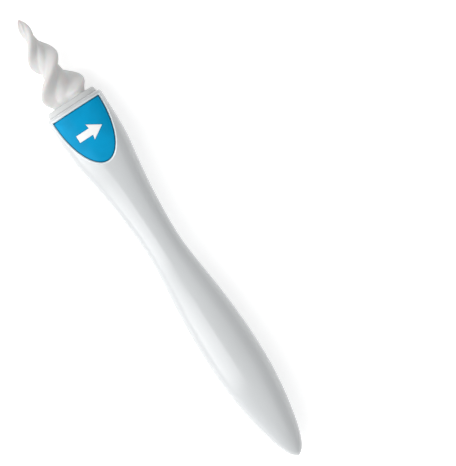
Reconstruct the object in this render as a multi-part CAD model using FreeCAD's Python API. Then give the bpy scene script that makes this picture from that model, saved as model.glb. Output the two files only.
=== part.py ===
import FreeCAD, Part

import os
from math import cos, exp, pi, sin

os.makedirs("parts", exist_ok=True)

# Ear wax cleaner: a hollow two-shell handle with a blue badge, and a soft spiral tip that plugs in.
# Millimetres. The tool lies on its back: Z is up, the tip points along +Y and the badge faces +Z.
# The origin is under the middle of the tool, on the surface that it lies on.

# driving dimensions
OVERALL_LENGTH = 175.0
HANDLE_LENGTH = 140.6
HEAD_WIDTH = 21.2
HEAD_DEPTH = 16.0
NECK_WIDTH = 12.5
NECK_DEPTH = 11.2
BELLY_WIDTH = 18.7
BELLY_DEPTH = 16.0

WALL = 2.0  # of the shells
RIM_ROUND = 0.9
LIP = 0.9  # height and thickness of the locating lip on the parting line
LIP_GAP = 0.05
RIB = 1.2
RIB_COUNT = 5
PIN_R = 1.2  # locating pins that join the shells
BOSS_R = 2.6
PIN_LENGTH = 3.0

PLATE_THICKNESS = 1.9  # the tip's base plate
PLATE_MARGIN = 1.35  # how far the plate stays inside the rim
PLATE_CHAMFER = 0.4
LEG_LENGTH = 10.0
LEG_THICKNESS = 1.9
LEG_WIDTH = 5.2
LEG_TAPER = 2.2
PLUG_SIZE = 7.7
PLUG_LENGTH = 5.0
PLUG_CHAMFER = 0.5
CORE_SIZE = 3.0  # the stiff core inside the soft spiral
CORE_LENGTH = 15.0
RUNNING_GAP = 0.1  # round the plug and the legs

SOCKET_WALL = 1.2
FLANGE_THICKNESS = 1.6
FLANGE_BELOW_RIM = 1.6
FLANGE_INSET = 1.3  # from the handle's surface to the flange's edge

SPIRAL_HALF_TURN = 12.5  # length in which the ribbon turns half round
SPIRAL_FACE_ON = 4.4  # height where the ribbon's broad side first faces front
SPIRAL_REACH = 8.8  # the ribbon's half width at the root of its taper
SPIRAL_WAIST = 0.5  # the ribbon's thickness as a share of its width
SPIRAL_ROWS = 30
SPIRAL_SIDES = 24

BADGE_WIDTH = 18.1
BADGE_HEIGHT = 20.4
BADGE_BELOW_RIM = 1.8
BADGE_THICKNESS = 0.9
BADGE_SUNK = 0.2
BADGE_GAP = 0.1
BADGE_BORDER = 0.5
ARROW_LENGTH = 9.6
ARROW_HEAD_LENGTH = 4.5
ARROW_HEAD_WIDTH = 6.0
ARROW_SHAFT_WIDTH = 2.6
ARROW_SWEEP = 0.3
ARROW_BELOW_BADGE_TOP = 9.1
ARROW_DEPTH = 0.4

# derived
BUTT_Y = -OVERALL_LENGTH / 2
RIM_Y = BUTT_Y + HANDLE_LENGTH
SPIRAL_Y = RIM_Y + PLATE_THICKNESS
SPIRAL_LENGTH = OVERALL_LENGTH / 2 - SPIRAL_Y
AXIS_Z = HEAD_DEPTH / 2
PLATE_HALF_WIDTH = HEAD_WIDTH / 2 - PLATE_MARGIN
PLATE_HALF_DEPTH = HEAD_DEPTH / 2 - PLATE_MARGIN
LEG_X = PLATE_HALF_WIDTH - LEG_THICKNESS - RUNNING_GAP
BADGE_TOP = RIM_Y - BADGE_BELOW_RIM
HEAD_SQUARENESS = 2.7
SIDES = 48  # strips round the handle
BUTT_FLAT = 0.5  # half width of the small flat on the butt

# the handle's outline: share of its length from the rim, half width, half depth, squareness
HANDLE_STATIONS = [
    (0.050, HEAD_WIDTH / 2, HEAD_DEPTH / 2, HEAD_SQUARENESS),
    (0.112, HEAD_WIDTH / 2, HEAD_DEPTH / 2, 2.6),
    (0.160, 9.5, 7.6, 2.5),
    (0.220, 8.15, 6.8, 2.3),
    (0.290, 7.0, 6.05, 2.2),
    (0.350, 6.4, 5.7, 2.2),
    (0.410, NECK_WIDTH / 2 - 0.1, NECK_DEPTH / 2 - 0.05, 2.2),
    (0.460, 6.75, 6.0, 2.2),
    (0.520, 7.75, 6.8, 2.2),
    (0.600, 8.85, 7.65, 2.2),
    (0.700, BELLY_WIDTH / 2 + 0.05, BELLY_DEPTH / 2 + 0.1, 2.2),
    (0.790, 8.95, 7.8, 2.2),
    (0.860, 7.6, 6.75, 2.1),
    (0.920, 5.95, 5.4, 2.0),
    (0.965, 4.1, 3.8, 2.0),
    (0.995, 2.0, 1.9, 2.0),
]


def at(x, y, z):
    return FreeCAD.Vector(x, y, z)


def signed_power(value, power):
    return abs(value) ** power * (1 if value > 0 else -1)


def section(half_width, half_depth, squareness, y, sides):
    """Points round a section whose form lies between an ellipse (2) and a rectangle."""
    power = 2 / squareness
    step = 2 * pi / sides
    swell = 1 / cos(step / 2) ** power
    points = []
    for i in range(sides):
        angle = (i + 0.5) * step
        across = half_width * swell * signed_power(cos(angle), power)
        deep = half_depth * swell * signed_power(sin(angle), power)
        points.append(at(across, y, AXIS_Z + deep))
    return points


def skin(sections):
    """Solid whose smooth long curves follow the sections, with a narrow strip between each two curves."""
    rows = len(sections)
    curves = []
    for poles in zip(*sections):
        curve = Part.BSplineCurve()
        curve.buildFromPolesMultsKnots(
            list(poles), [4] + [1] * (rows - 4) + [4], list(range(rows - 2)), False, 3
        )
        curves.append(curve.toShape())
    faces = [Part.makeRuledSurface(a, b) for a, b in zip(curves, curves[1:] + curves[:1])]
    return closed_solid(faces + [polygon(sections[0]), polygon(sections[-1])])


def faceted(sections, end):
    """Solid in flat triangles between sections, from the first one to a single end point."""
    faces = [polygon(sections[0])]
    for low, high in zip(sections, sections[1:] + [[end] * len(sections[0])]):
        for i, j in zip(range(len(low)), list(range(1, len(low))) + [0]):
            faces.append(polygon([low[i], low[j], high[j]]))
            if high[i] != high[j]:
                faces.append(polygon([low[i], high[j], high[i]]))
    return closed_solid(faces)


def polygon(corners):
    return Part.Face(Part.makePolygon(corners + corners[:1]))


def closed_solid(faces):
    sheets = Part.Compound(faces)
    sheets.sewShape()
    solid = Part.Solid(sheets)
    if solid.Volume < 0:
        solid.reverse()
    return solid


def handle_form(inset=0.0, sides=SIDES):
    """The handle's outer form with its rounded rim, or that form taken in by inset and run past the rim."""
    length = HANDLE_LENGTH - 2 * inset
    half_width = HEAD_WIDTH / 2 - inset
    half_depth = HEAD_DEPTH / 2 - inset
    sections = []
    if inset:
        sections.append(section(half_width, half_depth, HEAD_SQUARENESS, RIM_Y + 2, sides))
        sections.append(section(half_width, half_depth, HEAD_SQUARENESS, RIM_Y, sides))
    else:
        for drop, narrower in ((0, 0.7), (0.6, 0), (1.2, 0)):
            off = RIM_ROUND * narrower
            y = RIM_Y - RIM_ROUND * drop
            sections.append(section(half_width - off, half_depth - off, HEAD_SQUARENESS, y, sides))
    for share, wide, deep, squareness in HANDLE_STATIONS:
        off = min(inset, 0.6 * deep)
        sections.append(section(wide - off, deep - off, squareness, RIM_Y - share * length, sides))
    sections.append(section(BUTT_FLAT, BUTT_FLAT, 2, RIM_Y - length, sides))
    return skin(sections)


def inside_form(inset):
    """The handle form taken in by inset, with fewer sides, for hidden faces."""
    return handle_form(inset, SIDES // 2)


def block(x0, x1, y0, y1, z0, z1):
    return Part.makeBox(x1 - x0, y1 - y0, z1 - z0, at(x0, y0, z0))


def slab(y0, y1, z0=-1.0, z1=HEAD_DEPTH + 1):
    return block(-HEAD_WIDTH, HEAD_WIDTH, y0, y1, z0, z1)


def cylinder(radius, x, y, z0, z1):
    return Part.makeCylinder(radius, z1 - z0, at(x, y, z0))


def leg_slots(outer=PLATE_HALF_WIDTH):
    """Ways for the tip's two legs, from below their ends to past the rim."""
    deep = LEG_WIDTH / 2 + RUNNING_GAP
    low = RIM_Y - LEG_LENGTH - 0.5
    slots = []
    for side in (-1, 1):
        x0, x1 = sorted((side * (LEG_X - RUNNING_GAP), side * outer))
        slots.append(block(x0, x1, low, RIM_Y + 1, AXIS_Z - deep, AXIS_Z + deep))
    return slots


def badge_prism(grow, z0=AXIS_Z + 1, z1=HEAD_DEPTH + 1):
    """Upright prism on the badge's outline, a half ellipse with a straight top, grown all round."""
    half = BADGE_WIDTH / 2 + grow
    low = BADGE_TOP - BADGE_HEIGHT - grow
    ellipse = Part.Ellipse(at(0, low, z0), at(half, BADGE_TOP, z0), at(0, BADGE_TOP, z0))
    edges = [ellipse.toShape(-pi / 2, pi / 2)]
    right = at(half, BADGE_TOP, z0)
    left = at(-half, BADGE_TOP, z0)
    corners = [right, left]
    if grow:
        corners = [right, right + at(0, grow, 0), left + at(0, grow, 0), left]
    for start, end in zip(corners, corners[1:]):
        edges.append(Part.makeLine(start, end))
    wire = Part.Wire(Part.__sortEdges__(edges))
    return Part.Face(wire).extrude(at(0, 0, z1 - z0))


def arrow_prism(grow):
    """Upright prism on the outline of an arrow that points along +X."""
    y = BADGE_TOP - ARROW_BELOW_BADGE_TOP
    shaft = ARROW_SHAFT_WIDTH / 2 + grow
    barb = ARROW_HEAD_WIDTH / 2 + grow * 1.6
    tail = -ARROW_LENGTH / 2 - grow
    tip = ARROW_LENGTH / 2 + grow * 1.6
    neck = ARROW_LENGTH / 2 - ARROW_HEAD_LENGTH - grow
    half = [(tail, shaft), (neck, shaft), (neck - ARROW_SWEEP, barb)]
    outline = half + [(tip, 0)] + [(x, -up) for x, up in reversed(half)]
    corners = [at(x, y + up, AXIS_Z + 1) for x, up in outline]
    return Part.Face(Part.makePolygon(corners + corners[:1])).extrude(at(0, 0, HEAD_DEPTH))


def above(prism, inset):
    """The part of a prism that lies outside the handle form taken in by inset."""
    return prism.cut(handle_form(inset))


def boss_places():
    return [RIM_Y - share * HANDLE_LENGTH for share in (0.2, 0.55, 0.83)]


def shell_half(outer, cavity, front):
    """One half of the hollow handle, with its ribs and bosses and its half of the socket's seat."""
    z0, z1 = (AXIS_Z, HEAD_DEPTH + 1) if front else (-1.0, AXIS_Z)
    half = slab(BUTT_Y - 1, RIM_Y + 1, z0, z1)
    body = outer.cut(cavity).common(half)
    inside = inside_form(WALL / 2).common(half)
    first = RIM_Y - HANDLE_LENGTH * 0.27
    pitch = HANDLE_LENGTH * 0.62 / (RIB_COUNT - 1)
    window = 3.2 if front else -3.2
    for i in range(RIB_COUNT):
        y = first - i * pitch
        rib = inside.common(slab(y - RIB / 2, y + RIB / 2))
        rib = rib.cut(slab(y - RIB, y + RIB, AXIS_Z + min(0, window), AXIS_Z + max(0, window)))
        body = body.fuse(rib)
    for y in boss_places():
        body = body.fuse(inside.common(cylinder(BOSS_R, 0, y, z0, z1)))
        if not front:
            body = body.cut(cylinder(PIN_R + LIP_GAP, 0, y, AXIS_Z - PIN_LENGTH - 0.3, AXIS_Z))
    seat = inside_form(FLANGE_INSET).common(flange_slab())
    body = body.cut(seat)
    for slot in leg_slots():
        body = body.cut(slot)
    return body


def flange_slab():
    top = RIM_Y - FLANGE_BELOW_RIM
    return slab(top - FLANGE_THICKNESS, top)


def lip_band(outer_inset, inner_inset, height):
    """Band just under the parting line, over the length that has the locating lip."""
    band = inside_form(outer_inset).cut(inside_form(inner_inset))
    return band.common(slab(BUTT_Y + 8, RIM_Y - LEG_LENGTH - 3, AXIS_Z - height, AXIS_Z))


def front_shell(outer, cavity):
    body = shell_half(outer, cavity, True)
    body = body.fuse(lip_band(WALL - LIP + LIP_GAP, WALL, LIP))
    for y in boss_places():
        body = body.fuse(cylinder(PIN_R, 0, y, AXIS_Z - PIN_LENGTH, AXIS_Z + 0.5))
    body = body.cut(above(badge_prism(BADGE_GAP), BADGE_SUNK + BADGE_THICKNESS))
    return body.cut(above(badge_prism(BADGE_BORDER), BADGE_SUNK))


def back_shell(outer, cavity):
    body = shell_half(outer, cavity, False)
    return body.cut(lip_band(WALL - LIP, WALL + 0.2, LIP + LIP_GAP))


def badge():
    plate = badge_prism(0).common(handle_form(BADGE_SUNK)).cut(handle_form(BADGE_SUNK + BADGE_THICKNESS))
    return plate.cut(above(arrow_prism(LIP_GAP), BADGE_SUNK + ARROW_DEPTH))


def direction_arrow():
    return arrow_prism(0).common(handle_form(BADGE_SUNK)).cut(handle_form(BADGE_SUNK + ARROW_DEPTH))


def tip_socket():
    """Receiver for the tip: a flange held in both shells, a square cup, and a cheek beside each leg."""
    body = inside_form(FLANGE_INSET).common(flange_slab())
    bore = PLUG_SIZE / 2 + RUNNING_GAP
    outside = bore + SOCKET_WALL
    top = RIM_Y - 0.4
    floor = RIM_Y - PLUG_LENGTH - 0.5
    low, high = AXIS_Z - outside, AXIS_Z + outside
    body = body.fuse(block(-outside, outside, floor - SOCKET_WALL, top, low, high))
    cheek_out = LEG_X - RUNNING_GAP
    deep = LEG_WIDTH / 2
    for side in (-1, 1):
        x0, x1 = sorted((side * (cheek_out - SOCKET_WALL), side * cheek_out))
        cheek = block(x0, x1, RIM_Y - LEG_LENGTH + 1, top, AXIS_Z - deep, AXIS_Z + deep)
        body = body.fuse(cheek)
    body = body.cut(block(-bore, bore, floor, RIM_Y, AXIS_Z - bore, AXIS_Z + bore))
    for slot in leg_slots(HEAD_WIDTH):
        body = body.cut(slot)
    return body.removeSplitter()


def tip_leg(side):
    """Flat leg whose lower end narrows from the inner side."""
    x_in = side * LEG_X
    x_out = side * (LEG_X + LEG_THICKNESS)
    low = RIM_Y - LEG_LENGTH
    x_end = side * (LEG_X + LEG_THICKNESS * 0.5)
    outline = [(x_in, RIM_Y + 0.5), (x_out, RIM_Y + 0.5), (x_out, low), (x_end, low), (x_in, low + LEG_TAPER)]
    corners = [at(x, y, AXIS_Z - LEG_WIDTH / 2) for x, y in outline]
    return Part.Face(Part.makePolygon(corners + corners[:1])).extrude(at(0, 0, LEG_WIDTH))


def core_post():
    """Tapered square post that stiffens the root of the spiral."""
    ends = []
    for y, half in ((SPIRAL_Y - 0.5, CORE_SIZE / 2), (SPIRAL_Y + CORE_LENGTH, CORE_SIZE / 4)):
        corners = [at(x * half, y, AXIS_Z + z * half) for x, z in ((-1, -1), (1, -1), (1, 1), (-1, 1))]
        ends.append(Part.makePolygon(corners + corners[:1]))
    return Part.makeLoft(ends, True, True)


def tip_carrier():
    """Base plate with two legs and a square plug below it and the core post above it."""
    outlines = []
    for up, off in ((0, 0), (0.75, 0), (1, PLATE_CHAMFER)):
        wide = PLATE_HALF_WIDTH - off
        deep = PLATE_HALF_DEPTH - off
        corners = section(wide, deep, HEAD_SQUARENESS, RIM_Y + PLATE_THICKNESS * up, SIDES)
        outlines.append(Part.makePolygon(corners + corners[:1]))
    body = Part.makeLoft(outlines, True, True)
    half = PLUG_SIZE / 2
    plug = block(-half, half, RIM_Y - PLUG_LENGTH, RIM_Y + 0.5, AXIS_Z - half, AXIS_Z + half)
    lower = [edge for edge in plug.Edges if edge.BoundBox.YMax < RIM_Y - PLUG_LENGTH + 0.01]
    body = body.fuse(plug.makeChamfer(PLUG_CHAMFER, lower))
    for side in (-1, 1):
        body = body.fuse(tip_leg(side))
    return body.fuse(core_post())


def ribbon_section(height):
    """Section of the twisted ribbon: two rounded lobes joined by a waist, rounder near the plate."""
    share = height / SPIRAL_LENGTH
    root = exp(-((height / 1.9) ** 2))
    reach = SPIRAL_REACH * (1 - 0.51 * share - 0.33 * share**2) * (1 - 0.33 * root)
    waist = SPIRAL_WAIST + 0.36 * root
    turn = pi * (height - SPIRAL_FACE_ON) / SPIRAL_HALF_TURN
    points = []
    for i in range(SPIRAL_SIDES):
        angle = i * 2 * pi / SPIRAL_SIDES
        radius = reach * (waist + (1 - waist) * cos(angle) ** 2)
        points.append(at(radius * cos(angle - turn), SPIRAL_Y + height, AXIS_Z + radius * sin(angle - turn)))
    return points


def spiral_tip():
    """Soft spiral: the ribbon twists as it narrows to a point."""
    sections = [ribbon_section(SPIRAL_LENGTH * i / SPIRAL_ROWS) for i in range(SPIRAL_ROWS)]
    return faceted(sections, at(0, SPIRAL_Y + SPIRAL_LENGTH, AXIS_Z)).cut(core_post())


outer_form = handle_form()
cavity_form = inside_form(WALL)
pieces = {
    "front_shell": front_shell(outer_form, cavity_form),
    "back_shell": back_shell(outer_form, cavity_form),
    "badge": badge(),
    "direction_arrow": direction_arrow(),
    "tip_socket": tip_socket(),
    "tip_carrier": tip_carrier(),
    "spiral_tip": spiral_tip(),
}
for name, shape in pieces.items():
    print(name, len(shape.Solids), shape.isValid(), round(shape.Volume, 1), len(shape.Faces))
    shape.Solids[0].exportStep(f"parts/{name}.step")
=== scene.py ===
from math import cos, exp, pi, radians, sin

import bmesh
import bpy
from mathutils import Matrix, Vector


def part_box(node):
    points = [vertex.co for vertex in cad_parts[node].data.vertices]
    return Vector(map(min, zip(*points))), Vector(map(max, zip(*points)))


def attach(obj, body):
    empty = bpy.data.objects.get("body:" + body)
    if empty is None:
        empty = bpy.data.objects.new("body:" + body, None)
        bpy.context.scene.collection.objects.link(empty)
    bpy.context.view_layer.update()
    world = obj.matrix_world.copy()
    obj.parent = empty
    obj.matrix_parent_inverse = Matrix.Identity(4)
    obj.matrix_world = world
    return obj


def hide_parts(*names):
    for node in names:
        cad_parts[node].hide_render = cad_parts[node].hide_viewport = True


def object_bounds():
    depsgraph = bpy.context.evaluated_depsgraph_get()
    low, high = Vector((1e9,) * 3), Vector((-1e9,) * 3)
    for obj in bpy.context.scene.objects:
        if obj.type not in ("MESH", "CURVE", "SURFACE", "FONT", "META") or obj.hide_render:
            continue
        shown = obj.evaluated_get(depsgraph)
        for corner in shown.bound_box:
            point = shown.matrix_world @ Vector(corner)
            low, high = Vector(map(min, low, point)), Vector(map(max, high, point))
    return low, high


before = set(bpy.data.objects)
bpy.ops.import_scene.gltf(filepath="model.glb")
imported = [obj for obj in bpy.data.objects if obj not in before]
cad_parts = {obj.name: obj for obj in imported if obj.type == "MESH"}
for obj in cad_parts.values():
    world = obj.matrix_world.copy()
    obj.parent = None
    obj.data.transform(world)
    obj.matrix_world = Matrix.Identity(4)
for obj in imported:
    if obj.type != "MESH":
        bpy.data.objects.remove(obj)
CAD_LOW, CAD_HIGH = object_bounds()

bl_info = {
    "name": "Ear wax cleaner",
    "version": (1, 0, 0),
    "blender": (4, 5, 0),
    "location": "3D View > Sidebar > Ear Cleaner",
    "description": "Builds the shells, the badge and the soft spiral tip of an ear wax cleaner",
    "category": "Object",
}

MM = 0.001

# places and sizes read from the frame
SHELL_LOW, SHELL_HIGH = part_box("front_shell")
CARRIER_LOW, CARRIER_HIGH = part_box("tip_carrier")
SPIRAL_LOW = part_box("spiral_tip")[0]
BADGE_LOW, BADGE_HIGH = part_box("badge")
ARROW_LOW, ARROW_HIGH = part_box("direction_arrow")
RIM_Y = SHELL_HIGH.y
HANDLE_LENGTH = SHELL_HIGH.y - SHELL_LOW.y
AXIS_Z = SHELL_HIGH.z / 2
TIP_Y = CAD_HIGH.y

# the handle's outline: share of its length from the rim, half width, half depth, squareness
HANDLE_STATIONS = [
    (0.000, 10.6, 8.0, 2.7),
    (0.050, 10.6, 8.0, 2.7),
    (0.112, 10.6, 8.0, 2.6),
    (0.160, 9.5, 7.6, 2.5),
    (0.220, 8.15, 6.8, 2.3),
    (0.290, 7.0, 6.05, 2.2),
    (0.350, 6.4, 5.7, 2.2),
    (0.410, 6.15, 5.55, 2.2),
    (0.460, 6.75, 6.0, 2.2),
    (0.520, 7.75, 6.8, 2.2),
    (0.600, 8.85, 7.65, 2.2),
    (0.700, 9.4, 8.1, 2.2),
    (0.790, 8.95, 7.8, 2.2),
    (0.860, 7.6, 6.75, 2.1),
    (0.920, 5.95, 5.4, 2.0),
    (0.965, 4.1, 3.8, 2.0),
    (0.995, 2.0, 1.9, 2.0),
    (1.000, 0.0, 0.0, 2.0),
]
SHELL_ARC = 72  # steps over half the handle's girth
SHELL_RINGS = 150
RIM_STEPS = 6  # round the rim's outer edge
SEAM_LEAN = 0.012  # angle over which a shell's edge falls into the seam
RIM_SQUARENESS = HANDLE_STATIONS[0][3]

# the tip's plug and legs, and the slots that take the legs
PLUG_HALF = 3.85 * MM
PLUG_LENGTH = 5.0 * MM
PLUG_CHAMFER = 0.5 * MM
LEG_INNER, LEG_OUTER = 7.25 * MM, 9.15 * MM  # from the axis
LEG_HALF_WIDTH = 2.6 * MM
LEG_TAPER = 2.2 * MM
LEG_POINT = 0.95 * MM  # thickness of a leg's lower end
LEG_ROUND = 0.15 * MM
IN_PLATE = 0.5 * MM  # how far the plug and the legs reach into the plate
SLOT_GAP = 0.1 * MM
SLOT_SPARE = 0.5 * MM  # room under the legs

# the arrow's proportions
SHAFT_WIDTH = 0.433  # share of the head's width
SHAFT_LENGTH = 0.531  # share of the arrow's length
ARROW_SWEEP = 0.3 * MM
MITRE = 1.6  # growth of the sharp corners when the outline grows by 1
ARROW_HEART = 0.62  # share of the length, from the tail, that sees the whole outline

# the spiral, with heights from the plate and shares of its length or reach
SPIRAL_RINGS = 150
SPIRAL_SIDES = 72
TAPER, TAPER_SQUARED = 0.633, 0.26
POINT_FROM = 0.9  # share of the length where the point begins to round off
ROOT_HEIGHT = 1.5 * MM  # height in which the root widens and begins to twist
ROOT_SLIM = 0.2
ROOT_HOLD = 0.4  # share of the twist that the root holds back
HOLLOW_BEFORE, HOLLOW_AFTER = 1.5, 0.8  # depth of the hollows on a fin's two sides

# the view: the tool lies across it, its tip to the upper left
VIEW_ROLL = radians(-32.88)
VIEW_MIDDLE = Vector((20.5 * MM, -11.5 * MM, 0))
VIEW_HEIGHT = 157.5 * MM
VIEW_DISTANCE = 1.6
SENSOR = 36.0
FLOOR_HALF = 3.0


# ---------------------------------------------------------------- sizes and colours


class EarCleanerSizes(bpy.types.PropertyGroup):
    """Sizes that a user would change."""

    wall: bpy.props.FloatProperty(
        name="Wall", description="Thickness of the shells", default=2.0 * MM, unit="LENGTH"
    )
    rim_round: bpy.props.FloatProperty(
        name="Rim Round", description="Radius of the rim's outer edge", default=0.9 * MM, unit="LENGTH"
    )
    seam: bpy.props.FloatProperty(
        name="Seam", description="Depth of the groove where the shells meet", default=0.12 * MM, unit="LENGTH"
    )
    badge_sunk: bpy.props.FloatProperty(
        name="Badge Sunk", description="Depth of the badge's face", default=0.2 * MM, unit="LENGTH"
    )
    badge_thickness: bpy.props.FloatProperty(
        name="Badge Thickness", description="Thickness of the badge", default=0.9 * MM, unit="LENGTH"
    )
    badge_gap: bpy.props.FloatProperty(
        name="Badge Gap", description="Gap round the badge and the arrow", default=0.12 * MM, unit="LENGTH"
    )
    badge_border: bpy.props.FloatProperty(
        name="Badge Border", description="Width of the bevel round the badge", default=0.5 * MM, unit="LENGTH"
    )
    arrow_depth: bpy.props.FloatProperty(
        name="Arrow Depth", description="Thickness of the arrow", default=0.4 * MM, unit="LENGTH"
    )
    edge_round: bpy.props.FloatProperty(
        name="Edge Round", description="Radius of small moulded edges", default=0.12 * MM, unit="LENGTH"
    )
    half_turn: bpy.props.FloatProperty(
        name="Half Turn", description="Length in which the spiral turns half round", default=12.9 * MM,
        unit="LENGTH",
    )
    face_on: bpy.props.FloatProperty(
        name="Face On", description="Height where the spiral's broad side faces front", default=4.95 * MM,
        unit="LENGTH",
    )
    reach: bpy.props.FloatProperty(
        name="Reach", description="Half width of the spiral at the root of its taper", default=9.05 * MM,
        unit="LENGTH",
    )
    core: bpy.props.FloatProperty(
        name="Core", description="Radius of the spiral's core, as a share of the reach", default=0.52,
        subtype="FACTOR",
    )
    valley: bpy.props.FloatProperty(
        name="Valley", description="Depth of the hollow beside a fin, as a share of the reach", default=0.09,
        subtype="FACTOR",
    )


def colour(name, description, default):
    return bpy.props.FloatVectorProperty(
        name=name, description=description, default=default, subtype="COLOR", size=3, min=0, max=1
    )


class EarCleanerColours(bpy.types.PropertyGroup):
    """Base colours, as linear light."""

    handle: colour("Handle", "Glossy plastic of the two shells", (0.62, 0.64, 0.65))
    # painted highlight: this pale border colour stands in for light glinting on the shell's bevel round the
    # badge
    border: colour("Border", "Polished edge of the badge's recess", (0.88, 0.95, 0.97))
    badge: colour("Badge", "Blue plastic of the badge", (0.0, 0.32, 0.61))
    arrow: colour("Arrow", "White inlay in the badge", (0.97, 0.97, 0.97))
    carrier: colour("Carrier", "Stiff plastic under the spiral", (0.62, 0.63, 0.63))
    # painted shade: the socket takes a darker grey than the carrier for its depth inside the handle's mouth
    socket: colour("Socket", "Plastic inside the handle's mouth", (0.50, 0.51, 0.52))
    spiral: colour("Spiral", "Soft material of the tip", (0.66, 0.655, 0.65))
    floor: colour("Floor", "The pale floor", (0.95, 0.95, 0.95))


# ---------------------------------------------------------------- the handle's form


def spline_point(rows, t):
    """Point at t, from 0 to 1, on the clamped cubic spline whose control rows are given."""
    last = len(rows) - 1
    knots = [0] * 3 + list(range(last - 1)) + [last - 2] * 3
    x = t * (last - 2)
    span = min(int(x), last - 3) + 3
    points = [list(rows[span - 3 + i]) for i in range(4)]
    for level in range(1, 4):
        for j in range(3, level - 1, -1):
            left = knots[span - 3 + j]
            right = knots[span + 1 + j - level]
            a = (x - left) / (right - left)
            points[j] = [(1 - a) * p + a * q for p, q in zip(points[j - 1], points[j])]
    return points[3]


class Form:
    """The handle's outer form, or that form taken in by an inset all round."""

    def __init__(self, inset=0.0):
        length = HANDLE_LENGTH - 2 * inset
        rows = []
        for share, wide, deep, square in HANDLE_STATIONS:
            off = min(inset, 0.6 * deep * MM)
            rows.append((RIM_Y - share * length, wide * MM - off, deep * MM - off, square))
        count = 400
        self.table = [spline_point(rows, i / count) for i in range(count + 1)]

    def at(self, y):
        """Half width, half depth and squareness at y."""
        table = self.table
        low, high = 0, len(table) - 1
        if y >= table[0][0]:
            return table[0][1:]
        if y <= table[high][0]:
            return table[high][1:]
        while high - low > 1:
            middle = (low + high) // 2
            if table[middle][0] > y:
                low = middle
            else:
                high = middle
        a = (table[low][0] - y) / (table[low][0] - table[high][0])
        return [(1 - a) * p + a * q for p, q in zip(table[low][1:], table[high][1:])]

    def height(self, x, y):
        """Height above the floor of the front surface at x and y."""
        wide, deep, square = self.at(y)
        share = min(abs(x) / wide, 0.999)
        return AXIS_Z + deep * (1 - share**square) ** (1 / square)

    def arc(self, y, start, end, steps, less=0.0):
        """Points round the section at y from one angle to another, less nearer to the axis."""
        wide, deep, square = self.at(y)
        points = []
        for i in range(steps + 1):
            angle = start + (end - start) * i / steps
            across = signed_power(cos(angle), 2 / square) * max(wide - less, 0)
            up = signed_power(sin(angle), 2 / square) * max(deep - less, 0)
            points.append(Vector((across, y, AXIS_Z + up)))
        return points


def signed_power(value, power):
    size = abs(value) ** power
    return size if value >= 0 else -size


# ---------------------------------------------------------------- meshes


def new_piece(name, points, faces):
    """A smooth object from points and faces, with doubled points merged and normals outwards."""
    mesh = bpy.data.meshes.new(name)
    mesh.from_pydata([tuple(p) for p in points], [], faces)
    work = bmesh.new()
    work.from_mesh(mesh)
    bmesh.ops.remove_doubles(work, verts=work.verts, dist=0.001 * MM)
    bmesh.ops.recalc_face_normals(work, faces=work.faces)
    work.to_mesh(mesh)
    work.free()
    piece = bpy.data.objects.new(name, mesh)
    bpy.context.scene.collection.objects.link(piece)
    return piece


def loft(name, loops):
    """Closed solid through closed loops of equal length. A loop whose points coincide makes a pole."""
    count = len(loops[0])
    points = [p for loop in loops for p in loop]
    faces = []
    for k in range(len(loops) - 1):
        for i in range(count):
            j = (i + 1) % count
            a, b = k * count, (k + 1) * count
            faces.append((a + i, a + j, b + j, b + i))
    return new_piece(name, points, faces)


def finish_edges(piece, degrees=32):
    """Smooth shading, with sharp edges kept where faces meet at more than the angle."""
    work = bmesh.new()
    work.from_mesh(piece.data)
    for face in work.faces:
        face.smooth = True
    for edge in work.edges:
        if len(edge.link_faces) == 2 and edge.calc_face_angle(0) > radians(degrees):
            edge.smooth = False
    work.to_mesh(piece.data)
    work.free()


def cut(piece, *cutters):
    """Takes the cutters out of the piece and removes them."""
    for cutter in cutters:
        step = piece.modifiers.new("Cut", "BOOLEAN")
        step.operation = "DIFFERENCE"
        step.solver = "EXACT"
        step.object = cutter
    graph = bpy.context.evaluated_depsgraph_get()
    mesh = bpy.data.meshes.new_from_object(piece.evaluated_get(graph))
    piece.modifiers.clear()
    piece.data = mesh
    for cutter in cutters:
        bpy.data.objects.remove(cutter)


def join(name, parts):
    """One object from several, with nothing else changed."""
    work = bmesh.new()
    for part in parts:
        work.from_mesh(part.data)
        bpy.data.objects.remove(part)
    mesh = bpy.data.meshes.new(name)
    work.to_mesh(mesh)
    work.free()
    piece = bpy.data.objects.new(name, mesh)
    bpy.context.scene.collection.objects.link(piece)
    return piece


def bevel(piece, width, segments=3, degrees=40):
    """Rounds the piece's sharp edges."""
    work = bmesh.new()
    work.from_mesh(piece.data)
    edges = [e for e in work.edges if len(e.link_faces) == 2 and e.calc_face_angle(0) > radians(degrees)]
    bmesh.ops.bevel(work, geom=edges, offset=width, segments=segments, profile=0.5, affect="EDGES")
    work.to_mesh(piece.data)
    work.free()


def prism(name, outline, low, high):
    """Upright solid on an outline of (x, y) points."""
    loops = [[Vector((x, y, z)) for x, y in outline] for z in (low, high)]
    count = len(outline)
    points = loops[0] + loops[1]
    faces = [tuple(range(count)), tuple(range(count, 2 * count))]
    for i in range(count):
        j = (i + 1) % count
        faces.append((i, j, count + j, count + i))
    return new_piece(name, points, faces)


def box_outline(x0, x1, y0, y1):
    return [(x0, y0), (x1, y0), (x1, y1), (x0, y1)]


def domed_plate(name, outline, levels, centre, rings=14):
    """Solid whose top and bottom follow the handle's form. Each level is a growth and an inset."""
    loops = []
    forms = {inset: Form(inset) for grow, inset in levels}

    def loop(grow, inset, share=1.0):
        points = []
        for x, y in outline(grow):
            x = centre[0] + (x - centre[0]) * share
            y = centre[1] + (y - centre[1]) * share
            points.append(Vector((x, y, forms[inset].height(x, y))))
        return points

    for i in range(rings):
        loops.append(loop(*levels[0], share=i / rings))
    for grow, inset in levels:
        loops.append(loop(grow, inset))
    for i in range(rings - 1, -1, -1):
        loops.append(loop(*levels[-1], share=i / rings))
    return loft(name, loops)


# ---------------------------------------------------------------- outlines


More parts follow.
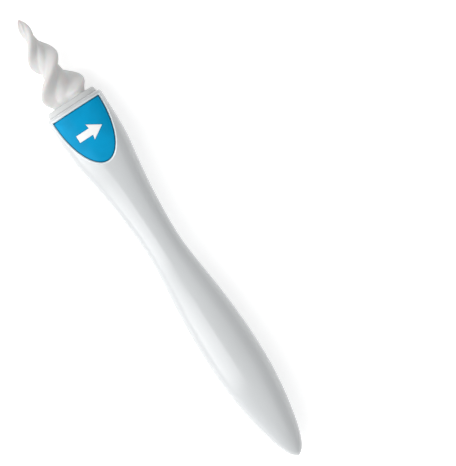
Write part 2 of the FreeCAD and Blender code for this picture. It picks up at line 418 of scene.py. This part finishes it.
def badge_outline(grow):
    """Half ellipse with a straight top."""
    half = BADGE_HIGH.x + grow
    top = BADGE_HIGH.y
    drop = BADGE_HIGH.y - BADGE_LOW.y + grow
    arc, across = 120, 40
    points = []
    for i in range(arc + 1):
        angle = -pi * i / arc
        points.append((half * cos(angle), top + drop * sin(angle)))
    for i in range(across + 1):
        points.append((-half + 2 * half * i / across, top + grow))
    return points


def arrow_outline(grow):
    """Arrow that points along +X."""
    length = ARROW_HIGH.x - ARROW_LOW.x
    half_head = (ARROW_HIGH.y - ARROW_LOW.y) / 2
    y = (ARROW_LOW.y + ARROW_HIGH.y) / 2
    tail, tip = ARROW_LOW.x - grow, ARROW_HIGH.x + MITRE * grow
    barb = half_head + MITRE * grow
    shaft = SHAFT_WIDTH * half_head + grow
    neck = ARROW_LOW.x + SHAFT_LENGTH * length - grow
    half = [(tail, shaft), (neck, shaft), (neck - ARROW_SWEEP, barb)]
    corners = half + [(tip, 0)] + [(x, -up) for x, up in reversed(half)]
    steps = 10
    points = []
    for k, (x0, up0) in enumerate(corners):
        x1, up1 = corners[(k + 1) % len(corners)]
        for i in range(steps):
            a = i / steps
            points.append((x0 + (x1 - x0) * a, y + up0 + (up1 - up0) * a))
    return points


# ---------------------------------------------------------------- shader nodes


class Number:
    """A number socket. Arithmetic on it adds Math nodes to its tree."""

    def __init__(self, shade, socket):
        self.shade = shade
        self.socket = socket

    def math(self, operation, first, second=None):
        inputs = {0: first} if second is None else {0: first, 1: second}
        return self.shade.node("ShaderNodeMath", {"operation": operation}, inputs).number()

    def __add__(self, other):
        return self.math("ADD", self, other)

    __radd__ = __add__

    def __sub__(self, other):
        return self.math("SUBTRACT", self, other)

    def __rsub__(self, other):
        return self.math("SUBTRACT", other, self)

    def __mul__(self, other):
        return self.math("MULTIPLY", self, other)

    __rmul__ = __mul__

    def smooth(self, low, high):
        """0 below low and 1 above high, with a soft step between."""
        settings = {"interpolation_type": "SMOOTHSTEP"}
        made = self.shade.node("ShaderNodeMapRange", settings, {0: self, 1: low, 2: high, 3: 0.0, 4: 1.0})
        return made.number()


class Made:
    """A node that has just been made."""

    def __init__(self, shade, node):
        self.shade = shade
        self.node = node

    def out(self, name=0):
        return self.node.outputs[name]

    def number(self, name=0):
        return Number(self.shade, self.node.outputs[name])


class Shade:
    """A material and the nodes in it."""

    def __init__(self, name):
        self.material = bpy.data.materials.new(name)
        self.material.use_nodes = True
        self.tree = self.material.node_tree
        self.tree.nodes.clear()
        self.place = self.node("ShaderNodeTexCoord").out("Object")

    def node(self, kind, settings=None, inputs=None):
        """Adds a node, sets its settings and then fills or links its sockets."""
        node = self.tree.nodes.new(kind)
        for name, value in (settings or {}).items():
            setattr(node, name, value)
        for name, value in (inputs or {}).items():
            socket = node.inputs[name]
            if isinstance(value, Number):
                self.tree.links.new(value.socket, socket)
            elif isinstance(value, bpy.types.NodeSocket):
                self.tree.links.new(value, socket)
            else:
                socket.default_value = value
        return Made(self, node)

    def noise(self, size, detail=2.0, stretch=(1, 1, 1)):
        """Noise from about 0 to 1 whose lumps are about size wide."""
        spread = [k / size for k in stretch]
        at = self.node("ShaderNodeMapping", {}, {"Vector": self.place, "Scale": spread}).out()
        inputs = {"Vector": at, "Scale": 1.0, "Detail": detail}
        return self.node("ShaderNodeTexNoise", {}, inputs).number("Fac")

    def axis(self, name):
        """One coordinate of the place on the object, in metres."""
        return self.node("ShaderNodeSeparateXYZ", {}, {0: self.place}).number(name)

    def blend(self, factor, first, second):
        """A colour between two colours."""
        settings = {"data_type": "RGBA"}
        made = self.node("ShaderNodeMix", settings, {"Factor": factor, 6: first, 7: second})
        return made.out(2)

    def bumps(self, *layers):
        """Normal with bumps, each given as a height from 0 to 1 and its depth in metres."""
        normal = None
        for height, depth in layers:
            inputs = {"Strength": 1.0, "Distance": depth, "Height": height}
            if normal:
                inputs["Normal"] = normal
            normal = self.node("ShaderNodeBump", {}, inputs).out()
        return normal

    def surface(self, **inputs):
        """Ends the material with one shader that has these inputs."""
        named = {name.replace("_", " "): value for name, value in inputs.items()}
        shader = self.node("ShaderNodeBsdfPrincipled", {}, named)
        self.node("ShaderNodeOutputMaterial", {}, {"Surface": shader.out()})
        return self.material


def opaque(colour, scale=1.0):
    return (colour[0] * scale, colour[1] * scale, colour[2] * scale, 1.0)


# ---------------------------------------------------------------- materials


def within_badge(shade, grow):
    """1 inside the badge's outline grown by grow, and 0 outside it."""
    top = BADGE_HIGH.y
    x = shade.axis("X") * (1 / (BADGE_HIGH.x + grow))
    y = (shade.axis("Y") - top) * (1 / (top - BADGE_LOW.y + grow))
    inside = 1 - (x * x + y * y).smooth(0.98, 1.01)
    return inside * (1 - shade.axis("Y").smooth(top + grow - 0.1 * MM, top + grow))


def handle_plastic(colours):
    """Glossy white moulded plastic, duller where fingers hold it, with a painted highlight on the bevel round
    the badge.
    """
    shade = Shade("handle_plastic")
    cloud = shade.noise(22 * MM, 3)
    flow = shade.noise(3 * MM, 2, (1, 0.12, 1))
    haze = shade.noise(0.7 * MM, 3)
    along = shade.axis("Y")
    held = along.smooth(-80 * MM, -40 * MM) - along.smooth(-25 * MM, 0)
    tone = cloud.smooth(0.3, 0.7)
    base = shade.blend(tone, opaque(colours.handle, 0.975), opaque(colours.handle, 1.0))
    # painted highlight: the front of the shell within the bevel round the badge takes the pale border colour
    border = within_badge(shade, 0.65 * MM) * shade.axis("Z").smooth(AXIS_Z, AXIS_Z + MM)
    base = shade.blend(border, base, opaque(colours.border))
    rough = 0.16 + 0.05 * haze + 0.05 * flow + 0.06 * held * cloud
    normal = shade.bumps((shade.noise(1.6 * MM, 1), 0.004 * MM), (shade.noise(0.25 * MM, 1), 0.0015 * MM))
    return shade.surface(
        Base_Color=base, Roughness=rough, Normal=normal, Coat_Weight=0.25, Coat_Roughness=0.12
    )


def badge_plastic(colours):
    """Glossy blue plastic with a faint moulding flow, and painted shade along its outline."""
    shade = Shade("badge_plastic")
    cloud = shade.noise(6 * MM, 3)
    haze = shade.noise(0.5 * MM, 2)
    base = shade.blend(cloud.smooth(0.3, 0.7), opaque(colours.badge, 0.94), opaque(colours.badge, 1.05))
    # painted shade: the badge darkens within 0.3 mm of its outline, standing in for the shade in the gap
    # round it
    base = shade.blend(within_badge(shade, -0.3 * MM), opaque(colours.badge, 0.4), base)
    normal = shade.bumps((shade.noise(0.35 * MM, 2), 0.002 * MM))
    rough = 0.24 + 0.12 * haze
    return shade.surface(Base_Color=base, Roughness=rough, Normal=normal, Specular_IOR_Level=0.06)


def arrow_plastic(colours):
    """White inlay, smooth, with a very fine grain."""
    shade = Shade("arrow_plastic")
    cloud = shade.noise(1.5 * MM, 2)
    base = shade.blend(cloud, opaque(colours.arrow, 0.97), opaque(colours.arrow))
    normal = shade.bumps((shade.noise(0.2 * MM, 2), 0.002 * MM))
    return shade.surface(Base_Color=base, Roughness=0.3 + 0.1 * cloud, Normal=normal)


def satin_plastic(name, base_colour, rough):
    """Plastic as it comes from the mould: a fine even grain and faint flow lines."""
    shade = Shade(name)
    cloud = shade.noise(5 * MM, 3)
    grain = shade.noise(0.18 * MM, 2)
    base = shade.blend(cloud, opaque(base_colour, 0.95), opaque(base_colour, 1.03))
    normal = shade.bumps((grain, 0.006 * MM))
    return shade.surface(Base_Color=base, Roughness=rough + 0.12 * grain, Normal=normal)


def soft_rubber(colours):
    """Soft matte material that lets a little light in, with a fine tacky skin."""
    shade = Shade("soft_rubber")
    cloud = shade.noise(4 * MM, 3)
    skin = shade.noise(0.3 * MM, 3)
    base = shade.blend(cloud, opaque(colours.spiral, 0.96), opaque(colours.spiral, 1.02))
    normal = shade.bumps((shade.noise(1.2 * MM, 2), 0.02 * MM), (skin, 0.008 * MM))
    return shade.surface(
        Base_Color=base,
        Roughness=0.5 + 0.16 * skin,
        Normal=normal,
        Subsurface_Weight=0.2,
        Subsurface_Scale=0.002,
        Specular_IOR_Level=0.35,
    )


def floor_paint(colours):
    """Pale matte floor with hardly any grain."""
    shade = Shade("floor_paint")
    cloud = shade.noise(60 * MM, 2)
    base = shade.blend(cloud, opaque(colours.floor, 0.995), opaque(colours.floor))
    return shade.surface(Base_Color=base, Roughness=0.9, Emission_Color=base, Emission_Strength=0.38)


# ---------------------------------------------------------------- pieces


def dress(piece, material, body, slot, *nodes):
    """Gives a finished piece its material and its place in the frame."""
    piece.data.materials.clear()
    piece.data.materials.append(material)
    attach(piece, body)
    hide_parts(*nodes)


def half_shell(name, start, sizes):
    """Half of the hollow handle, from the angle start half way round, open only at the rim."""
    outer = Form()
    inner = Form(sizes.wall)
    begin, end = start + SEAM_LEAN, start + pi - SEAM_LEAN
    rows = []
    for i in range(RIM_STEPS + 1):
        angle = pi / 2 * i / RIM_STEPS
        y = RIM_Y - sizes.rim_round * (1 - cos(angle))
        rows.append((y, y, sizes.rim_round * (1 - sin(angle))))
    reach = HANDLE_LENGTH - sizes.rim_round
    for i in range(1, SHELL_RINGS + 1):
        share = 1 - (1 - i / SHELL_RINGS) ** 1.25
        y = RIM_Y - sizes.rim_round - reach * share
        y_in = RIM_Y - (RIM_Y - y) * (HANDLE_LENGTH - 2 * sizes.wall) / HANDLE_LENGTH
        rows.append((y, y_in, 0.0))
    points = []
    for y, y_in, less in rows:
        loop = outer.arc(y, start, start + pi, 1, less + sizes.seam)[:1]
        loop += outer.arc(y, begin, end, SHELL_ARC, less)
        loop += outer.arc(y, start, start + pi, 1, less + sizes.seam)[1:]
        back = inner.arc(y_in, start, start + pi, SHELL_ARC + 2)
        points += loop + back
    count = SHELL_ARC + 3
    faces = []
    for i in range(count - 1):
        faces.append((i, i + 1, count + i + 1, count + i))
    for k in range(len(rows) - 1):
        a, b = 2 * count * k, 2 * count * (k + 1)
        for i in range(count - 1):
            faces.append((a + i, a + i + 1, b + i + 1, b + i))
            faces.append((a + count + i, a + count + i + 1, b + count + i + 1, b + count + i))
        for i in (0, count - 1):
            faces.append((a + i, b + i, b + count + i, a + count + i))
    return new_piece(name, points, faces)


def leg_slot_cutters():
    """Ways inside the walls for the tip's two legs."""
    half_width = LEG_HALF_WIDTH + SLOT_GAP
    cutters = []
    for side in (-1, 1):
        x0, x1 = sorted((side * (LEG_INNER - SLOT_GAP), side * (LEG_OUTER + SLOT_GAP)))
        outline = box_outline(x0, x1, CARRIER_LOW.y - SLOT_SPARE, RIM_Y + MM)
        cutters.append(prism("leg_slot", outline, AXIS_Z - half_width, AXIS_Z + half_width))
    return cutters


def badge_centre():
    """A point in the badge's upper half that sees the whole outline."""
    return (0.0, BADGE_HIGH.y - 0.35 * (BADGE_HIGH.y - BADGE_LOW.y))


def badge_recess(sizes):
    """Cutter for the badge's seat and the bevel round it, from the seat out past the surface."""
    floor = sizes.badge_sunk + sizes.badge_thickness
    border = sizes.badge_border
    levels = [
        (sizes.badge_gap, floor),
        (sizes.badge_gap, 0.32 * MM),
        (sizes.badge_gap + 0.4 * border, 0.18 * MM),
        (border, -0.01 * MM),
        (border + 0.3 * MM, -0.8 * MM),
    ]
    return domed_plate("badge_recess", badge_outline, levels, badge_centre())


class EARCLEAN_OT_shells(bpy.types.Operator):
    """Build the front and back shells of the handle"""

    bl_idname = "earclean.shells"
    bl_label = "Handle Shells"

    def execute(self, context):
        sizes = context.scene.ear_sizes
        material = handle_plastic(context.scene.ear_colours)
        front = half_shell("handle_front", 0.0, sizes)
        cut(front, badge_recess(sizes), *leg_slot_cutters())
        back = half_shell("handle_back", pi, sizes)
        cut(back, *leg_slot_cutters())
        for piece, node in ((front, "front_shell"), (back, "back_shell")):
            finish_edges(piece)
            dress(piece, material, "handle", "handle_plastic", node)
        return {"FINISHED"}


def arrow_centre():
    """A point in the arrow's head that sees the whole outline."""
    return (ARROW_LOW.x + ARROW_HEART * (ARROW_HIGH.x - ARROW_LOW.x), (ARROW_LOW.y + ARROW_HIGH.y) / 2)


class EARCLEAN_OT_badge(bpy.types.Operator):
    """Build the blue badge and the white arrow in it"""

    bl_idname = "earclean.badge"
    bl_label = "Badge And Arrow"

    def execute(self, context):
        sizes = context.scene.ear_sizes
        colours = context.scene.ear_colours
        edge = sizes.edge_round
        face = sizes.badge_sunk
        levels = [(0.0, face + sizes.badge_thickness), (0.0, face + edge)]
        levels += [(-0.3 * edge, face + 0.3 * edge), (-edge, face)]
        badge = domed_plate("badge_plate", badge_outline, levels, badge_centre())
        middle = arrow_centre()
        gap = sizes.badge_gap
        pocket = [(gap, face + sizes.arrow_depth), (gap, face + 0.01 * MM), (gap, -0.5 * MM)]
        cut(badge, domed_plate("arrow_pocket", arrow_outline, pocket, middle, rings=4))
        levels = [(0.0, face + sizes.arrow_depth), (0.0, face + 0.6 * edge), (-0.6 * edge, face - 0.03 * MM)]
        arrow = domed_plate("arrow_inlay", arrow_outline, levels, middle, rings=4)
        finish_edges(badge)
        finish_edges(arrow)
        dress(badge, badge_plastic(colours), "handle", "blue_plastic", "badge")
        dress(arrow, arrow_plastic(colours), "handle", "white_inlay", "direction_arrow")
        return {"FINISHED"}


class EARCLEAN_OT_socket(bpy.types.Operator):
    """Give the receiver inside the handle its moulded finish"""

    bl_idname = "earclean.socket"
    bl_label = "Tip Socket"

    def execute(self, context):
        colours = context.scene.ear_colours
        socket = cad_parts["tip_socket"]
        socket.data.materials.clear()
        socket.data.materials.append(satin_plastic("socket_plastic", colours.socket, 0.4))
        return {"FINISHED"}


class EARCLEAN_OT_carrier(bpy.types.Operator):
    """Build the tip's base plate with its plug and legs"""

    bl_idname = "earclean.carrier"
    bl_label = "Tip Carrier"

    def execute(self, context):
        colours = context.scene.ear_colours
        parts = [base_plate(), plug(), tip_leg(-1), tip_leg(1)]
        carrier = join("carrier_plate", parts)
        finish_edges(carrier)
        material = satin_plastic("carrier_plastic", colours.carrier, 0.38)
        dress(carrier, material, "tip", "carrier_plastic", "tip_carrier")
        return {"FINISHED"}


def base_plate():
    """Flat plate on the handle's section, a little inside the rim, with rounded edges."""
    half_width = CARRIER_HIGH.x
    half_depth = (CARRIER_HIGH.z - CARRIER_LOW.z) / 2
    thick = SPIRAL_LOW.y - RIM_Y
    steps = 128
    profile = [(0.0, 0.0, 0.0)]
    for off, up in ((0.1, 0.0), (0.0, 0.08), (0.0, 0.62), (0.08, 0.82), (0.25, 0.94), (0.5, 1.0)):
        profile.append((1.0, off * MM, up * thick))
    profile.append((0.0, 0.0, thick))
    loops = []
    for size, off, up in profile:
        loop = []
        for i in range(steps):
            angle = 2 * pi * i / steps
            across = signed_power(cos(angle), 2 / RIM_SQUARENESS) * size * (half_width - off)
            deep = signed_power(sin(angle), 2 / RIM_SQUARENESS) * size * (half_depth - off)
            loop.append(Vector((across, RIM_Y + up, AXIS_Z + deep)))
        loops.append(loop)
    return loft("base_plate", loops)


def plug():
    """Square plug under the plate, narrower at its end."""
    slim = 1 - PLUG_CHAMFER / PLUG_HALF
    corners = [(-1, -1), (1, -1), (1, 1), (-1, 1)]
    stations = [(0.0, PLUG_LENGTH), (slim, PLUG_LENGTH), (1.0, PLUG_LENGTH - PLUG_CHAMFER)]
    stations += [(1.0, -IN_PLATE), (0.0, -IN_PLATE)]
    loops = []
    for size, down in stations:
        half = PLUG_HALF * size
        loops.append([Vector((x * half, RIM_Y - down, AXIS_Z + z * half)) for x, z in corners])
    piece = loft("plug", loops)
    bevel(piece, LEG_ROUND)
    return piece


def tip_leg(side):
    """Flat leg whose lower end narrows from the inner side."""
    top, low = RIM_Y + IN_PLATE, CARRIER_LOW.y
    outline = [(LEG_INNER, top), (LEG_OUTER, top), (LEG_OUTER, low), (LEG_OUTER - LEG_POINT, low)]
    outline.append((LEG_INNER, low + LEG_TAPER))
    outline = [(side * x, y) for x, y in outline]
    piece = prism("tip_leg", outline, AXIS_Z - LEG_HALF_WIDTH, AXIS_Z + LEG_HALF_WIDTH)
    bevel(piece, LEG_ROUND)
    return piece


def ribbon_loop(height, length, sizes):
    """Section of the twisted ribbon: a round core with two fins, which slims towards the point."""
    share = height / length
    root = exp(-((height / ROOT_HEIGHT) ** 2))
    close = max(0.0, (share - POINT_FROM) / (1 - POINT_FROM))
    reach = sizes.reach * (1 - TAPER * share - TAPER_SQUARED * share**2) * (1 - ROOT_SLIM * root)
    reach *= max(0.0, 1 - close**2) ** 0.5
    turn = pi * (height - sizes.face_on) / sizes.half_turn * (1 - ROOT_HOLD * root)
    loop = []
    for i in range(SPIRAL_SIDES):
        angle = 2 * pi * i / SPIRAL_SIDES
        side = sin(2 * angle)
        fin = (1 - sizes.core) * cos(angle) ** 4
        hollow = sizes.valley * side**4 * (HOLLOW_AFTER if side > 0 else HOLLOW_BEFORE)
        radius = reach * (sizes.core + fin - hollow)
        across, up = radius * cos(angle - turn), radius * sin(angle - turn)
        loop.append(Vector((across, SPIRAL_LOW.y + height, AXIS_Z + up)))
    return loop


class EARCLEAN_OT_spiral(bpy.types.Operator):
    """Build the soft spiral, sunk a little into the plate"""

    bl_idname = "earclean.spiral"
    bl_label = "Spiral Tip"

    def execute(self, context):
        sizes = context.scene.ear_sizes
        length = TIP_Y - SPIRAL_LOW.y
        sink = Vector((0, 0.2 * MM, 0))
        first = ribbon_loop(0.0, length, sizes)
        loops = [[Vector((0, SPIRAL_LOW.y, AXIS_Z)) - sink] * SPIRAL_SIDES, [p - sink for p in first]]
        for i in range(SPIRAL_RINGS + 1):
            share = 1 - (1 - i / SPIRAL_RINGS) ** 1.15
            loops.append(ribbon_loop(length * share, length, sizes))
        spiral = loft("soft_spiral", loops)
        finish_edges(spiral, 60)
        dress(spiral, soft_rubber(context.scene.ear_colours), "tip", "soft_tip", "spiral_tip")
        return {"FINISHED"}


# ---------------------------------------------------------------- stage


def area_light(name, place, aim, size, power):
    """Soft rectangular light at place, turned to aim."""
    data = bpy.data.lights.new(name, "AREA")
    data.shape = "RECTANGLE"
    data.size, data.size_y = size
    data.energy = power
    light = bpy.data.objects.new(name, data)
    bpy.context.scene.collection.objects.link(light)
    light.location = place
    light.rotation_euler = (aim - place).to_track_quat("-Z", "Y").to_euler()


class EARCLEAN_OT_stage(bpy.types.Operator):
    """Set up the pale floor, the soft lights and the camera"""

    bl_idname = "earclean.stage"
    bl_label = "Stage"

    def execute(self, context):
        scene = context.scene
        scene.view_settings.view_transform = "Standard"
        corners = ((-1, -1), (1, -1), (1, 1), (-1, 1))
        loops = [[Vector((0, 0, 0))] * 4]
        loops.append([Vector((x * FLOOR_HALF, y * FLOOR_HALF, 0)) for x, y in corners])
        ground = loft("floor", loops)
        ground.data.materials.append(floor_paint(scene.ear_colours))
        world = bpy.data.worlds.new("studio")
        world.use_nodes = True
        background = world.node_tree.nodes["Background"]
        background.inputs["Color"].default_value = (1, 1, 1, 1)
        background.inputs["Strength"].default_value = 0.42
        scene.world = world

        # a long key light beside the handle, a soft one above, and one on the tip
        aim = VIEW_MIDDLE
        right = Vector((cos(VIEW_ROLL), sin(VIEW_ROLL), 0))
        area_light("key", aim + Vector((-0.77, 0, 0.64)), aim, (0.36, 1.5), 6.8)
        area_light("fill", aim + 0.3 * right + Vector((0, 0, 1.3)), aim, (1.2, 1.2), 3.0)
        tip = Vector((0, TIP_Y, AXIS_Z))
        area_light("tip_light", tip + Vector((-0.5, 0.85, 0.45)), tip, (0.4, 0.4), 3.0)

        data = bpy.data.cameras.new("camera")
        data.sensor_width = SENSOR
        data.lens = SENSOR * VIEW_DISTANCE / VIEW_HEIGHT
        data.clip_end = 20
        camera = bpy.data.objects.new("camera", data)
        scene.collection.objects.link(camera)
        camera.location = aim + Vector((0, 0, VIEW_DISTANCE + AXIS_Z))
        camera.rotation_euler = (0, 0, VIEW_ROLL)
        scene.camera = camera
        return {"FINISHED"}


# ---------------------------------------------------------------- add-on


STEPS = (
    EARCLEAN_OT_shells,
    EARCLEAN_OT_badge,
    EARCLEAN_OT_socket,
    EARCLEAN_OT_carrier,
    EARCLEAN_OT_spiral,
    EARCLEAN_OT_stage,
)


class EARCLEAN_PT_panel(bpy.types.Panel):
    """Lists the steps and the values that they read"""

    bl_label = "Ear Cleaner"
    bl_idname = "EARCLEAN_PT_panel"
    bl_space_type = "VIEW_3D"
    bl_region_type = "UI"
    bl_category = "Ear Cleaner"

    def draw(self, context):
        for step in STEPS:
            self.layout.operator(step.bl_idname)
        for group in (context.scene.ear_sizes, context.scene.ear_colours):
            for name in group.__annotations__:
                self.layout.prop(group, name)


CLASSES = (EarCleanerSizes, EarCleanerColours, *STEPS, EARCLEAN_PT_panel)


def register():
    for kind in CLASSES:
        bpy.utils.register_class(kind)
    bpy.types.Scene.ear_sizes = bpy.props.PointerProperty(type=EarCleanerSizes)
    bpy.types.Scene.ear_colours = bpy.props.PointerProperty(type=EarCleanerColours)


def unregister():
    del bpy.types.Scene.ear_colours
    del bpy.types.Scene.ear_sizes
    for kind in reversed(CLASSES):
        bpy.utils.unregister_class(kind)


def main():
    register()
    for step in STEPS:
        group, name = step.bl_idname.split(".")
        getattr(getattr(bpy.ops, group), name)()


if __name__ == "__main__":
    main()
